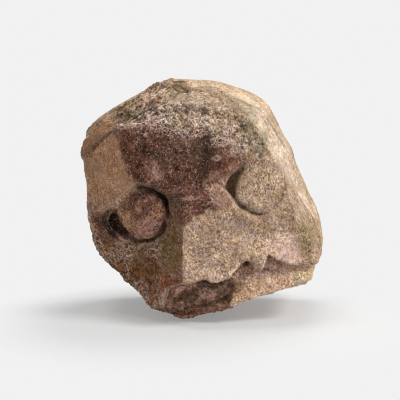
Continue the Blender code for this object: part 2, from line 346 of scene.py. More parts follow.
# Each mark's tones: the darker and the lighter colour of its mottling, how coarse that is, and its edge.
TONES = (
    Tone("mossy_top", (0.254, 0.145, 0.085), (0.713, 0.471, 0.326), 90, 0.004, 0.004),
    Tone("lace", (0.092, 0.040, 0.020), (0.269, 0.130, 0.072), 130, 0.009, 0.009),
    Tone("side_band", (0.418, 0.314, 0.211), (0.662, 0.538, 0.414), 60, 0.004, 0.003),
    Tone("speckled_top", (0.152, 0.096, 0.054), (0.353, 0.238, 0.153), 110, 0.003, 0.004),
    Tone("left_cheek", (0.093, 0.039, 0.015), (0.266, 0.125, 0.054), 80, 0.006, 0.005),
    Tone("slab", (0.150, 0.074, 0.036), (0.281, 0.139, 0.071), 70, 0.002, 0.002),
    Tone("temple_scar", (0.356, 0.190, 0.107), (0.540, 0.309, 0.186), 50, 0.003, 0.003),
    Tone("left_flank", (0.117, 0.062, 0.026), (0.263, 0.143, 0.073), 70, 0.002, 0.003),
    Tone("broken_nose", (0.298, 0.194, 0.126), (0.540, 0.370, 0.261), 120, 0.0015, 0.002),
    # Painted shadow and dirt in the pocket left of the left pellet.
    Tone("pocket", (0.056, 0.017, 0.009), (0.205, 0.067, 0.033), 90, 0.010, 0.011),
    Tone("left_pellet", (0.152, 0.063, 0.041), (0.489, 0.245, 0.166), 110, 0.001, 0.001),
    Tone("right_pellet", (0.273, 0.184, 0.113), (0.524, 0.367, 0.256), 120, 0.003, 0.002),
    # Painted shade under the brow, with some dirt.
    Tone("brow_underside", (0.075, 0.045, 0.024), (0.184, 0.108, 0.065), 90, 0.002, 0.001),
    Tone("eyelid", (0.271, 0.151, 0.102), (0.398, 0.243, 0.175), 60, 0.003, 0.003),
    Tone("forehead_patina", (0.037, 0.013, 0.008), (0.185, 0.080, 0.048), 95, 0.003, 0.005),
    # Darker in the furrow between the brows.
    Tone("darker_furrow", (0.042, 0.018, 0.011), (0.119, 0.054, 0.028), 90, 0.006, 0.005),
    # Painted highlight on the left brow.
    Tone("brow_shine", (0.199, 0.099, 0.077), (0.485, 0.274, 0.216), 120, 0.006, 0.005),
    Tone("lip_corner", (0.118, 0.042, 0.021), (0.313, 0.123, 0.071), 110, 0.004, 0.005),
    Tone("pink_cheek", (0.524, 0.340, 0.257), (0.764, 0.558, 0.451), 80, 0.006, 0.005),
    Tone("green_cheek", (0.198, 0.138, 0.064), (0.356, 0.243, 0.147), 90, 0.008, 0.004),
    Tone("mouth", (0.093, 0.053, 0.036), (0.844, 0.513, 0.366), 75, 0.003, 0.005),
    Tone("under_lip", (0.281, 0.179, 0.133), (0.842, 0.578, 0.424), 110, 0.004, 0.005),
    Tone("jaw", (0.405, 0.242, 0.150), (0.714, 0.498, 0.359), 80, 0.003, 0.003),
    Tone("jaw_end", (0.471, 0.330, 0.186), (0.696, 0.511, 0.334), 70, 0.005, 0.004),
    Tone("jaw_rim", (0.094, 0.033, 0.015), (0.249, 0.091, 0.047), 100, 0.004, 0.004),
)
BODY = ((0.235, 0.150, 0.090), (0.528, 0.368, 0.256))
# The plain sides: a shaded and a lit copy of one stone, painted shade on the left and painted light on the
# right.
SHADY_SIDE = ((0.115, 0.070, 0.040), (0.330, 0.215, 0.135))
SUNNY_SIDE = ((0.340, 0.235, 0.145), (0.600, 0.445, 0.310))
CUT_STONE = ((0.270, 0.185, 0.120), (0.460, 0.335, 0.225))

# Where one finish gives way to the next, in metres from the wall face, across or up.
STAINED_FRONT = (0.020, 0.050)
PLAIN_SIDES = (0.065, 0.028)
PLAIN_SIDES_RAGGED = 0.10
CUT_FACE = (0.016, 0.003)
SHADY_TO_SUNNY = (-0.03, 0.06)
BROKEN_TOP = (0.088, 0.096)

# How deep a hollow is where dirt and painted shade set in, and how proud an edge is where it is worn pale.
DIRTY_AND_SHADED = (0.0002, 0.0012)
DIRT_AND_SHADE_RAGGED = 0.0012
WORN = (-0.0003, -0.0013)
WORN_RAGGED = 0.0010
# The fine relief's painted shade on low grains and painted highlight on high ones.
SKIN_RELIEF = 0.0006
RELIEF_SHADE = (0.80, 1.20)

# How strongly each layer covers what is under it.
LICHEN_COVER = 0.85
THREAD_COVER = 0.75
MOSSY_SHADED_COVER = 0.62
LIT_RIDGE_COVER = 0.60
DIRT_AND_SHADE_COVER = 0.55
WORN_COVER = 0.32
PIT_COVER = 0.60
CRYSTAL_COVER = 0.60
SOOTY_COVER = (0.25, 0.80)
GRAINY_DRIFT = (0.50, 1.15)
GRAINY_ON_CUT_FACE = 0.55

# What lies over the tones.
LICHEN = (0.620, 0.480, 0.400)
LICHEN_THREAD = (0.480, 0.340, 0.280)
# Bedding streaks: a moss olive with painted shade for crevices, and a painted highlight for ridges.
MOSSY_SHADED_STREAK = (0.075, 0.052, 0.026)
LIT_RIDGE_STREAK = (0.560, 0.430, 0.330)
# Dirt and painted shade, laid darker the deeper a hollow is.
DIRT_AND_SHADE = (0.040, 0.026, 0.018)
WORN_EDGE = (0.560, 0.440, 0.330)
PIT_SHADE = (0.060, 0.040, 0.026)
FLECK_DARK = (0.270, 0.215, 0.150)
FLECK_LIGHT = (1.900, 1.980, 2.060)
OCHRE_DRIFT = (1.045, 1.010, 0.900)
LILAC_DRIFT = (0.975, 0.985, 1.080)
WARM_GRAIN = (1.050, 1.000, 0.920)
COOL_GRAIN = (0.960, 1.000, 1.060)
DARK_GRAIN = (0.055, 0.034, 0.024)
PALE_GRAIN = (0.520, 0.400, 0.340)
CRYSTAL = (0.560, 0.400, 0.345)

# Stain colours that come back.
OLIVE = (0.195, 0.170, 0.095)
SOOT = (0.050, 0.038, 0.028)
RUST = (0.230, 0.085, 0.050)
ROSE = (0.500, 0.360, 0.285)
OCHRE = (0.250, 0.165, 0.080)
PALE_LIP = (0.620, 0.480, 0.410)
WORN_LIP = (0.600, 0.460, 0.390)
MOSS = (0.085, 0.070, 0.028)
DEEP_SHADE = (0.028, 0.017, 0.012)

# Stains and bloom on the front, and spots of painted shade and highlight: the middle, the half lengths across
# and up, the turn in degrees, the colour and its strength.
STAINS = (
    Stain(-0.092, 0.082, 0.020, 0.0016, 29, SOOT, 0.50),
    # Dark spot in the pocket left of the left pellet: painted shadow and dirt.
    Stain(-0.100, -0.012, 0.020, 0.013, -25, (0.060, 0.034, 0.025), 0.65),
    Stain(-0.0805, 0.1000, 0.0145, 0.0011, -12, PALE_LIP, 0.65),
    Stain(-0.0560, 0.0964, 0.0125, 0.0012, -5, PALE_LIP, 0.65),
    Stain(-0.0375, 0.0990, 0.0090, 0.0012, 25, WORN_LIP, 0.60),
    Stain(-0.0245, 0.1048, 0.0070, 0.0012, 23, WORN_LIP, 0.55),
    Stain(-0.078, 0.104, 0.016, 0.0030, 5, MOSS, 0.65),
    Stain(-0.056, 0.107, 0.012, 0.0030, 12, MOSS, 0.55),
    # Dark hollows above the broken lip line: painted shade of the recess, in a dark olive.
    Stain(-0.0475, 0.0998, 0.0095, 0.0024, 8, (0.045, 0.034, 0.016), 0.80),
    Stain(-0.0680, 0.1045, 0.0100, 0.0030, -8, (0.060, 0.045, 0.020), 0.70),
    Stain(-0.0370, 0.1080, 0.0170, 0.0014, 12, (0.050, 0.036, 0.018), 0.75),
    Stain(-0.0250, 0.1185, 0.0100, 0.0030, 14, (0.520, 0.420, 0.320), 0.55),
    Stain(0.070, 0.072, 0.010, 0.017, -30, OLIVE, 0.60),
    Stain(0.077, 0.045, 0.008, 0.013, -30, OLIVE, 0.60),
    Stain(0.060, 0.092, 0.016, 0.008, -38, OLIVE, 0.50),
    Stain(0.012, 0.104, 0.018, 0.006, -20, OLIVE, 0.40),
    Stain(-0.040, 0.104, 0.012, 0.004, 10, SOOT, 0.45),
    Stain(-0.008, 0.1125, 0.012, 0.0018, 6, (0.080, 0.056, 0.024), 0.70),
    Stain(-0.014, 0.089, 0.013, 0.007, -20, SOOT, 0.60),
    Stain(0.002, 0.083, 0.009, 0.005, -25, SOOT, 0.50),
    Stain(-0.034, 0.058, 0.006, 0.005, 0, SOOT, 0.60),
    Stain(-0.013, 0.093, 0.004, 0.003, 0, ROSE, 0.60),
    Stain(-0.006, 0.010, 0.022, 0.017, 0, (0.120, 0.048, 0.034), 0.50),
    Stain(-0.016, -0.010, 0.008, 0.010, 0, (0.140, 0.056, 0.034), 0.60),
    Stain(-0.010, 0.008, 0.010, 0.003, -5, (0.340, 0.230, 0.175), 0.50),
    Stain(0.036, 0.030, 0.024, 0.0045, 18, RUST, 0.60),
    Stain(0.054, 0.033, 0.007, 0.005, 0, (0.150, 0.062, 0.042), 0.60),
    Stain(0.012, 0.018, 0.006, 0.005, 0, RUST, 0.50),
    Stain(0.027, 0.043, 0.006, 0.003, 10, ROSE, 0.50),
    Stain(0.045, 0.045, 0.003, 0.006, 0, ROSE, 0.45),
    # Greyish brown under the right eye: painted shade below the socket.
    Stain(0.036, -0.028, 0.019, 0.009, -25, (0.200, 0.140, 0.108), 0.60),
    Stain(0.058, -0.030, 0.008, 0.0035, 0, (0.380, 0.190, 0.120), 0.50),
    Stain(0.017, -0.008, 0.005, 0.005, 0, (0.260, 0.105, 0.065), 0.55),
    Stain(0.042, -0.045, 0.010, 0.006, 0, ROSE, 0.50),
    Stain(-0.080, -0.040, 0.024, 0.009, 0, OCHRE, 0.50),
    Stain(-0.042, -0.045, 0.008, 0.018, 10, (0.165, 0.118, 0.050), 0.50),
    # Dark spot under the pocket: painted shadow and dirt.
    Stain(-0.080, -0.033, 0.011, 0.0035, 0, (0.075, 0.040, 0.030), 0.65),
    Stain(-0.062, -0.034, 0.009, 0.005, 0, (0.095, 0.056, 0.042), 0.50),
    Stain(-0.113, 0.035, 0.005, 0.030, 0, (0.270, 0.140, 0.065), 0.45),
    Stain(-0.101, 0.012, 0.012, 0.004, 15, (0.440, 0.290, 0.230), 0.60),
    # Dark spot in the pocket: painted shadow and dirt.
    Stain(-0.108, -0.003, 0.010, 0.008, 0, (0.080, 0.044, 0.032), 0.65),
    Stain(-0.083, 0.008, 0.006, 0.012, 0, OCHRE, 0.55),
    Stain(-0.070, -0.007, 0.005, 0.004, 0, OCHRE, 0.50),
    Stain(0.067, 0.016, 0.005, 0.003, 0, (0.300, 0.180, 0.090), 0.50),
    Stain(0.076, -0.004, 0.007, 0.009, 0, (0.280, 0.165, 0.110), 0.40),
    Stain(0.110, 0.019, 0.006, 0.011, 0, (0.720, 0.470, 0.400), 0.60),
    Stain(0.087, 0.056, 0.026, 0.0014, -67, (0.400, 0.240, 0.175), 0.60),
    Stain(0.095, 0.050, 0.026, 0.0009, -69, (0.330, 0.210, 0.140), 0.50),
    # Pale pink line on the nose's left arris: painted highlight.
    Stain(-0.0265, -0.050, 0.026, 0.0017, 80, (0.430, 0.300, 0.260), 0.50),
    Stain(-0.028, -0.066, 0.006, 0.005, 0, (0.260, 0.150, 0.130), 0.50),
    Stain(-0.014, -0.101, 0.007, 0.0035, 20, (0.420, 0.300, 0.240), 0.50),
    Stain(-0.074, 0.012, 0.012, 0.007, 40, (0.075, 0.036, 0.026), 0.60),
    Stain(-0.060, -0.013, 0.013, 0.006, -15, (0.400, 0.215, 0.165), 0.65),
    Stain(-0.055, 0.006, 0.009, 0.006, 30, (0.150, 0.055, 0.040), 0.65),
    Stain(-0.070, -0.003, 0.007, 0.004, 20, (0.095, 0.042, 0.032), 0.60),
    Stain(-0.0825, -0.006, 0.006, 0.013, -5, (0.380, 0.205, 0.105), 0.60),
    # Painted shade under the brow, over the left pellet's top.
    Stain(-0.060, 0.0175, 0.014, 0.005, 8, (0.075, 0.036, 0.030), 0.60),
    Stain(-0.048, -0.020, 0.008, 0.005, 30, (0.090, 0.045, 0.036), 0.50),
    # Darkest spots in the pocket: painted shadow and dirt.
    Stain(-0.1005, -0.001, 0.0034, 0.010, -12, DEEP_SHADE, 0.85),
    Stain(-0.1020, -0.014, 0.006, 0.008, 0, (0.040, 0.024, 0.017), 0.60),
    Stain(0.002, -0.040, 0.016, 0.012, 30, (0.250, 0.175, 0.120), 0.35),
    Stain(-0.010, -0.066, 0.012, 0.010, -20, (0.480, 0.350, 0.260), 0.35),
    Stain(-0.108, 0.052, 0.010, 0.014, 20, (0.390, 0.235, 0.150), 0.40),
    Stain(0.0935, 0.000, 0.0100, 0.0012, 82, (0.130, 0.085, 0.050), 0.70),
    Stain(0.0820, -0.0180, 0.0100, 0.0012, 30, (0.150, 0.100, 0.060), 0.65),
    Stain(-0.048, -0.108, 0.008, 0.006, 20, (0.160, 0.090, 0.040), 0.50),
    Stain(-0.022, -0.116, 0.038, 0.010, 0, (0.105, 0.052, 0.034), 0.55),
    Stain(-0.004, -0.119, 0.020, 0.004, 5, (0.230, 0.105, 0.070), 0.50),
    Stain(-0.0585, -0.091, 0.012, 0.0016, 60, (0.480, 0.360, 0.290), 0.65),
    Stain(-0.012, 0.060, 0.022, 0.014, 20, (0.115, 0.072, 0.054), 0.45),
    Stain(0.002, -0.098, 0.012, 0.007, 20, (0.300, 0.215, 0.165), 0.45),
    Stain(-0.034, -0.101, 0.015, 0.008, 12, (0.060, 0.036, 0.022), 0.60),
    Stain(-0.004, -0.092, 0.017, 0.006, 6, DEEP_SHADE, 0.70),
    Stain(0.018, 0.052, 0.010, 0.018, -25, SOOT, 0.45),
)

# Stains on the broken top, and spots of painted shade, seen from above: their second number is y.
TOP_STAINS = (
    Stain(-0.003, -0.050, 0.014, 0.026, 0, (0.120, 0.088, 0.038), 0.65),
    Stain(-0.003, -0.018, 0.010, 0.007, 0, (0.050, 0.032, 0.014), 0.85),
    Stain(-0.008, -0.058, 0.004, 0.012, 20, (0.055, 0.036, 0.016), 0.80),
    Stain(0.003, -0.064, 0.011, 0.006, 30, (0.048, 0.031, 0.014), 0.80),
    Stain(-0.022, -0.045, 0.006, 0.018, -15, (0.085, 0.066, 0.030), 0.60),
    Stain(0.014, -0.038, 0.005, 0.016, 0, (0.600, 0.470, 0.330), 0.65),
    Stain(-0.058, -0.105, 0.022, 0.010, -12, (0.125, 0.100, 0.044), 0.50),
    Stain(-0.070, -0.090, 0.012, 0.008, 0, (0.055, 0.042, 0.020), 0.65),
    # Dark hollows behind the broken lip line: painted shade of the recess, in a dark olive.
    Stain(-0.049, -0.146, 0.011, 0.0040, -10, (0.040, 0.030, 0.015), 0.75),
    Stain(-0.040, -0.127, 0.021, 0.0030, -17, (0.042, 0.032, 0.016), 0.75),
    Stain(-0.026, -0.076, 0.010, 0.010, 0, (0.560, 0.450, 0.350), 0.50),
    Stain(-0.056, -0.1505, 0.0130, 0.0022, -24, (0.640, 0.500, 0.430), 0.70),
    Stain(-0.0375, -0.1500, 0.0095, 0.0022, 30, PALE_LIP, 0.65),
    Stain(-0.0245, -0.1450, 0.0070, 0.0022, 10, PALE_LIP, 0.60),
)

# How strongly single grains show.
GRAINY = (
    ("mossy_top", 1.0),
    ("side_band", 0.62),
    ("temple_scar", 0.68),
    ("slab", 0.60),
    ("left_flank", 0.95),
    ("eyelid", 0.95),
    ("left_pellet", 1.0),
    ("forehead_patina", 1.0),
    ("pink_cheek", 0.60),
    ("jaw_end", 0.65),
)

# How much rougher, more pitted and more stepped each mark is than the rest.
ROUGH_SHARES = (
    ("mossy_top", 0.80),
    ("speckled_top", 0.30),
    ("left_cheek", 0.50),
    ("mouth", 0.45),
    ("forehead_patina", 0.15),
    ("jaw_rim", 0.50),
    ("jaw", 0.15),
    ("temple_scar", -0.20),
    ("slab", -0.15),
    ("side_band", 0.10),
    ("left_pellet", 0.15),
    ("right_pellet", -0.10),
    ("eyelid", -0.20),
    ("left_flank", -0.15),
)
PITTED_SHARES = (
    ("mossy_top", 1.2),
    ("speckled_top", 0.7),
    ("left_cheek", 0.6),
    ("mouth", 0.8),
    ("side_band", -0.2),
)
LEDGED_SHARES = (
    ("mossy_top", 1.05),
    ("speckled_top", 0.12),
    ("left_cheek", -0.08),
    ("jaw_end", 0.4),
    ("side_band", 0.15),
    ("mouth", 0.15),
)


def camera_axes():
    """Right, up and backwards of the camera, which leans over to match how the head was stood."""
    turn, rise, lean = radians(CAMERA_TURN), radians(CAMERA_RISE), radians(CAMERA_LEAN)
    back = Vector((sin(turn) * cos(rise), -cos(turn) * cos(rise), sin(rise)))
    level = Vector((cos(turn), sin(turn), 0))
    upright = back.cross(level)
    right = cos(lean) * level - sin(lean) * upright
    up = sin(lean) * level + cos(lean) * upright
    return right, up, back


def object_of(name, data):
    made = bpy.data.objects.new(name, data)
    bpy.context.scene.collection.objects.link(made)
    return made


def applied(obj):
    """The object with its modifiers turned into plain mesh."""
    bpy.context.view_layer.update()
    evaluated = obj.evaluated_get(bpy.context.evaluated_depsgraph_get())
    mesh = bpy.data.meshes.new_from_object(evaluated)
    old = obj.data
    obj.modifiers.clear()
    obj.data = mesh
    bpy.data.meshes.remove(old)
    return obj


def points_of(mesh):
    points = np.empty(len(mesh.vertices) * 3, dtype=np.float32)
    mesh.vertices.foreach_get("co", points)
    return points.reshape(-1, 3).astype(float)


def normals_of(mesh):
    normals = np.empty(len(mesh.vertices) * 3, dtype=np.float32)
    mesh.vertices.foreach_get("normal", normals)
    return normals.reshape(-1, 3).astype(float)


def set_points(mesh, points):
    mesh.vertices.foreach_set("co", points.astype(np.float32).ravel())
    mesh.update()


def line_distance(line, x, z, closed=False):
    """Distance to a line of points, and what lies inside it when it is closed."""
    ends = line[1:] + line[:1] if closed else line[1:]
    distance = np.full(x.shape, 1.0)
    inside = np.zeros(x.shape, dtype=bool)
    for (x0, z0), (x1, z1) in zip(line, ends):
        run, rise = x1 - x0, z1 - z0
        share = np.clip(((x - x0) * run + (z - z0) * rise) / (run * run + rise * rise), 0, 1)
        distance = np.minimum(distance, np.hypot(x - x0 - share * run, z - z0 - share * rise))
        if rise:
            inside ^= ((z0 > z) != (z1 > z)) & (x < x0 + (z - z0) * run / rise)
    return distance, inside


def wandering(points):
    """The points' x and z, drifting behind the front so that lines wander over the sides."""
    x, y, z = points.T
    start = np.interp(z, WANDER_TOP, (WANDER_FROM, WANDER_FROM_ON_TOP))
    behind = np.clip((y + start) / WANDER_OVER, 0, 1)
    x_drift = 0.016 * np.sin(70 * y + 40 * z) + 0.006 * np.sin(190 * y + 60 * z)
    z_drift = 0.018 * np.sin(55 * y + 30 * x + 2) + 0.007 * np.sin(170 * y + 90 * x)
    return x + behind * x_drift, z + behind * z_drift


def flake_depth(flake, x, z):
    """How deep a flake has split off at x and z: sharp at its edge, running out behind it and at its ends."""
    ends = list(zip(flake.edge, flake.edge[1:]))
    lengths = [np.hypot(x1 - x0, z1 - z0) for (x0, z0), (x1, z1) in ends]
    nearest = np.full(x.shape, 1.0)
    side = np.zeros(x.shape)
    passed = np.zeros(x.shape)
    gone = 0.0
    for ((x0, z0), (x1, z1)), length in zip(ends, lengths):
        run, rise = (x1 - x0) / length, (z1 - z0) / length
        along = np.clip((x - x0) * run + (z - z0) * rise, 0, length)
        away = np.hypot(x - x0 - along * run, z - z0 - along * rise)
        closer = away < nearest
        nearest = np.where(closer, away, nearest)
        side = np.where(closer, np.sign((z - z0) * run - (x - x0) * rise), side)
        passed = np.where(closer, gone + along, passed)
        gone += length
    sharp = np.clip(side * nearest / FLAKE_EDGE, 0, 1)
    at_ends = np.clip(np.sin(np.pi * passed / gone), 0, 1) ** FLAKE_END_POWER
    return flake.depth * sharp * at_ends * np.exp(-((nearest / flake.reach) ** 2))


def store(mesh, name, values):
    mesh.attributes.new(name, "FLOAT", "POINT").data.foreach_set("value", values.astype(np.float32))


def remeshed(obj, step):
    remesh = obj.modifiers.new("even_skin", "REMESH")
    remesh.mode = "VOXEL"
    remesh.voxel_size = step
    return applied(obj)


def smoothed(obj, passes):
    smooth = obj.modifiers.new("worn", "SMOOTH")
    smooth.iterations = passes
    return applied(obj)


def bare_skin():
    """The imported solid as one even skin, with its flats worn and its finer grooves cut."""
    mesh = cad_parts[STONE_NODE].data.copy()
    mesh.materials.clear()
    work = bmesh.new()
    work.from_mesh(mesh)
    bmesh.ops.remove_doubles(work, verts=work.verts, dist=WELD)
    work.to_mesh(mesh)
    work.free()
    skin = remeshed(object_of("weathered_stone_head", mesh), SKIN_STEP)
    smoothed(skin, SKIN_SMOOTHINGS)
    points = points_of(skin.data)
    front = np.clip((-points[:, 1] - GROOVED_FROM) / GROOVED_FADE, 0, 1)
    for groove in GROOVES:
        across = line_distance(groove.line, points[:, 0], points[:, 2])[0] / groove.half_width
        depth = groove.depth * front / (1 + across**4)
        for x_end, z_end in (groove.line[0], groove.line[-1]):
            depth *= np.clip(np.hypot(points[:, 0] - x_end, points[:, 2] - z_end) / GROOVE_RUN_OUT, 0, 1)
        points[:, 1] += depth
    split = sum(flake_depth(flake, *wandering(points)) for flake in FLAKES)
    facing = np.clip((-points[:, 1] - FLAKED_FROM) / FLAKED_FADE, 0, 1)
    points -= normals_of(skin.data) * (split * facing)[:, None]
    set_points(skin.data, points)
    remeshed(skin, SKIN_STEP)
    return smoothed(skin, 1)


def mark_skin(skin):
    """Stores how far inside each mark a place is, how hollow it is, and how near the wall face."""
    mesh = skin.data
    points = points_of(mesh)
    x, z = wandering(points)
    store(mesh, "seen_x", x)
    store(mesh, "seen_z", z)
    for mark in MARKS:
        distance, inside = line_distance(mark.outline, x, z, closed=True)
        store(mesh, mark.name, np.where(inside, distance, -distance))
    normals = normals_of(mesh)
    edges = np.empty(len(mesh.edges) * 2, dtype=np.int32)
    mesh.edges.foreach_get("vertices", edges)
    edges = edges.reshape(-1, 2)
    count = np.bincount(edges.ravel(), minlength=len(points))[:, None]
    even = points.copy()
    for _ in range(CREASE_REACH):
        total = np.zeros_like(even)
        for axis in range(3):
            total[:, axis] = np.bincount(edges[:, 0], even[edges[:, 1], axis], len(points))
            total[:, axis] += np.bincount(edges[:, 1], even[edges[:, 0], axis], len(points))
        even = total / np.maximum(count, 1)
    store(mesh, "hollow", ((even - points) * normals).sum(axis=1))
    store(mesh, "from_wall", -points[:, 1])


def feed(tree, socket, value):
    """Links a socket to what feeds it, or sets its value."""
    if isinstance(value, bpy.types.NodeSocket):
        tree.links.new(value, socket)
    else:
        socket.default_value = value


def node_maker(tree):
    """A short way to add a node, set its values and link what feeds it."""

    def node(kind, *inputs, **settings):
        made = tree.nodes.new(kind)
        for name, value in settings.items():
            setattr(made, name, value)
        for socket, value in zip(made.inputs, inputs):
            if value is not None:
                feed(tree, socket, value)
        return made

    return node


def mathematics(node, operation, *values):
    return node("ShaderNodeMath", *values, operation=operation).outputs[0]


def weathering_tree():
    """Geometry nodes that roughen the skin: hewn lumps, worn grain and pits."""
    tree = bpy.data.node_groups.new("weathered_surface", "GeometryNodeTree")
    tree.interface.new_socket("Geometry", in_out="INPUT", socket_type="NodeSocketGeometry")
    for name, value in (
        ("Lump size", 0.028),
        ("Lump height", 0.0080),
        ("Crumb size", 0.0070),
        ("Crumb height", 0.0056),
        ("Grain size", 0.0028),
        ("Grain height", 0.0032),
        ("Pit size", 0.0044),
        ("Pit depth", 0.0016),
        ("Ledge size", 0.017),
        ("Ledge height", 0.0180),
        ("Ledge rise", 0.0028),
    ):
        socket = tree.interface.new_socket(name, in_out="INPUT", socket_type="NodeSocketFloat")
        socket.default_value = value
    tree.interface.new_socket("Stone", in_out="INPUT", socket_type="NodeSocketMaterial")
    tree.interface.new_socket("Geometry", in_out="OUTPUT", socket_type="NodeSocketGeometry")
    node = node_maker(tree)
    given = tree.nodes.new("NodeGroupInput").outputs
    result = tree.nodes.new("NodeGroupOutput")

    def mathematic(operation, *values):
        return mathematics(node, operation, *values)

    def stored(name):
        made = node("GeometryNodeInputNamedAttribute", name, data_type="FLOAT")
        return made.outputs["Attribute"]

    def inside(name):
        ramp = node("ShaderNodeMapRange", stored(name), -MARK_EDGE, MARK_EDGE)
        ramp.interpolation_type = "SMOOTHSTEP"
        return ramp.outputs["Result"]

    def noise(size, octaves, seed, place=None):
        made = node("ShaderNodeTexNoise", place)
        made.noise_dimensions = "4D"
        made.inputs["W"].default_value = seed
        tree.links.new(mathematic("DIVIDE", 1.0, size), made.inputs["Scale"])
        made.inputs["Detail"].default_value = octaves
        made.inputs["Roughness"].default_value = NOISE_ROUGHNESS
        return mathematic("SUBTRACT", made.outputs["Fac"], 0.5)

    def marked(shares, base):
        """A value that each named mark adds its share to."""
        value = base
        for name, share in shares:
            value = mathematic("MULTIPLY_ADD", inside(name), share, value)
        return mathematic("MAXIMUM", value, 0.0)

    rough = marked(ROUGH_SHARES, ROUGH_BASE)
    pitted = marked(PITTED_SHARES, PITTED_BASE)
    off_wall = node("ShaderNodeMapRange", stored("from_wall"), *OFF_WALL).outputs["Result"]

    lumps = mathematic("MULTIPLY", noise(given["Lump size"], 2, 1.0), given["Lump height"])
    crumbs = mathematic("MULTIPLY", noise(given["Crumb size"], 2, 2.0), given["Crumb height"])
    grain = mathematic("MULTIPLY", noise(given["Grain size"], 1, 3.0), given["Grain height"])
    pit = noise(given["Pit size"], 1, 4.0)
    pit = node("ShaderNodeMapRange", pit, *PIT_EDGE, interpolation_type="SMOOTHSTEP")
    pit = mathematic("MULTIPLY", pit.outputs["Result"], pitted)
    fine = mathematic("MULTIPLY", mathematic("ADD", crumbs, grain), rough)
    pits = mathematic("MULTIPLY", pit, mathematic("MULTIPLY", given["Pit depth"], -1.0))

    # Broken ledges: a rolling height that goes up in steps.
    place = node("GeometryNodeInputPosition").outputs[0]
    lying = node("ShaderNodeVectorRotate", place, rotation_type="Y_AXIS")
    lying.inputs["Angle"].default_value = BEDDING_TILT
    lying = node("ShaderNodeVectorMath", lying.outputs[0], BEDDING_STRETCH, operation="MULTIPLY").outputs[0]
    rolling = mathematic("MULTIPLY", noise(given["Ledge size"], 3, 5.0, lying), given["Ledge height"])
    stepped = mathematic("DIVIDE", rolling, given["Ledge rise"])
    whole = mathematic("FLOOR", stepped)
    part = mathematic("SUBTRACT", stepped, whole)
    part = node("ShaderNodeMapRange", part, *LEDGE_RISER, interpolation_type="SMOOTHSTEP")
    ledges = mathematic("MULTIPLY", mathematic("ADD", whole, part.outputs["Result"]), given["Ledge rise"])
    ledges = mathematic("MULTIPLY", ledges, marked(LEDGED_SHARES, LEDGED_BASE))
    height = mathematic("ADD", mathematic("ADD", fine, lumps), mathematic("ADD", ledges, pits))
    height = mathematic("MULTIPLY", height, off_wall)

    normal = tree.nodes.new("GeometryNodeInputNormal").outputs[0]
    offset = node("ShaderNodeVectorMath", normal, operation="SCALE")
    tree.links.new(height, offset.inputs["Scale"])
    moved = tree.nodes.new("GeometryNodeSetPosition")
    tree.links.new(given["Geometry"], moved.inputs["Geometry"])
    tree.links.new(offset.outputs[0], moved.inputs["Offset"])
    told = moved.outputs[0]
    for name, value in (("relief", grain), ("pit", pit)):
        kept = node("GeometryNodeStoreNamedAttribute", told, data_type="FLOAT", domain="POINT")
        kept.inputs["Name"].default_value = name
        tree.links.new(value, kept.inputs["Value"])
        told = kept.outputs[0]
    realized = node("GeometryNodeRealizeInstances", told)
    dressed = node("GeometryNodeSetMaterial", realized.outputs[0])
    tree.links.new(given["Stone"], dressed.inputs["Material"])
    tree.links.new(dressed.outputs[0], result.inputs[0])
    return tree


def group_tree(name, inputs, outputs):
    """An empty shader node group with named float, colour and vector sockets."""
    tree = bpy.data.node_groups.new(name, "ShaderNodeTree")
    kinds = {"float": "NodeSocketFloat", "colour": "NodeSocketColor", "vector": "NodeSocketVector"}
    for label, kind, value in inputs:
        socket = tree.interface.new_socket(label, in_out="INPUT", socket_type=kinds[kind])
        if value is not None:
            socket.default_value = value
    for label, kind in outputs:
        tree.interface.new_socket(label, in_out="OUTPUT", socket_type=kinds[kind])
    given = tree.nodes.new("NodeGroupInput").outputs
    result = tree.nodes.new("NodeGroupOutput").inputs
    return tree, node_maker(tree), given, result


def ragged_patch_group():
    """1 inside a mark, with a soft and ragged edge."""
    tree, node, given, result = group_tree(
        "ragged_patch",
        (
            ("Distance", "float", 0),
            ("Soft", "float", 0.003),
            ("Ragged", "float", 0.003),
            ("Noise", "float", 0.5),
        ),
        (("Mask", "float"),),
    )
    noise = mathematics(node, "SUBTRACT", given["Noise"], 0.5)
    shift = mathematics(node, "MULTIPLY", noise, mathematics(node, "MULTIPLY", given["Ragged"], 4.0))
    edge = mathematics(node, "DIVIDE", mathematics(node, "ADD", given["Distance"], shift), given["Soft"])
    ramp = node("ShaderNodeMapRange", edge, -1.0, 1.0, interpolation_type="SMOOTHSTEP")
    tree.links.new(ramp.outputs["Result"], result["Mask"])
    return tree


def stain_group():
    """1 in the middle of an oval stain on the front, running out at a ragged edge."""
    tree, node, given, result = group_tree(
        "stain",
        (
            ("Place", "vector", None),
            ("Middle X", "float", 0),
            ("Middle Z", "float", 0),
            ("Across", "float", 0.01),
            ("Up", "float", 0.01),
            ("Turn", "float", 0),
            ("Noise", "float", 0.5),
        ),
        (("Mask", "float"),),
    )
    apart = tree.nodes.new("ShaderNodeSeparateXYZ")
    tree.links.new(given["Place"], apart.inputs[0])

    def mathematic(operation, *values):
        return mathematics(node, operation, *values)

    x = mathematic("SUBTRACT", apart.outputs[0], given["Middle X"])
    z = mathematic("SUBTRACT", apart.outputs[2], given["Middle Z"])
    cosine = mathematic("COSINE", given["Turn"])
    sine = mathematic("SINE", given["Turn"])
    along = mathematic("MULTIPLY_ADD", x, cosine, mathematic("MULTIPLY", z, sine))
    over = mathematic("SUBTRACT", mathematic("MULTIPLY", z, cosine), mathematic("MULTIPLY", x, sine))
    along = mathematic("POWER", mathematic("DIVIDE", along, given["Across"]), 2.0)
    over = mathematic("POWER", mathematic("DIVIDE", over, given["Up"]), 2.0)
    reach = mathematic("SQRT", mathematic("ADD", along, over))
    ragged = mathematic("MULTIPLY_ADD", mathematic("SUBTRACT", given["Noise"], 0.5), -STAIN_RAGGED, reach)
    ramp = node("ShaderNodeMapRange", ragged, *STAIN_EDGE, interpolation_type="SMOOTHSTEP")
    tree.links.new(ramp.outputs["Result"], result["Mask"])
    return tree


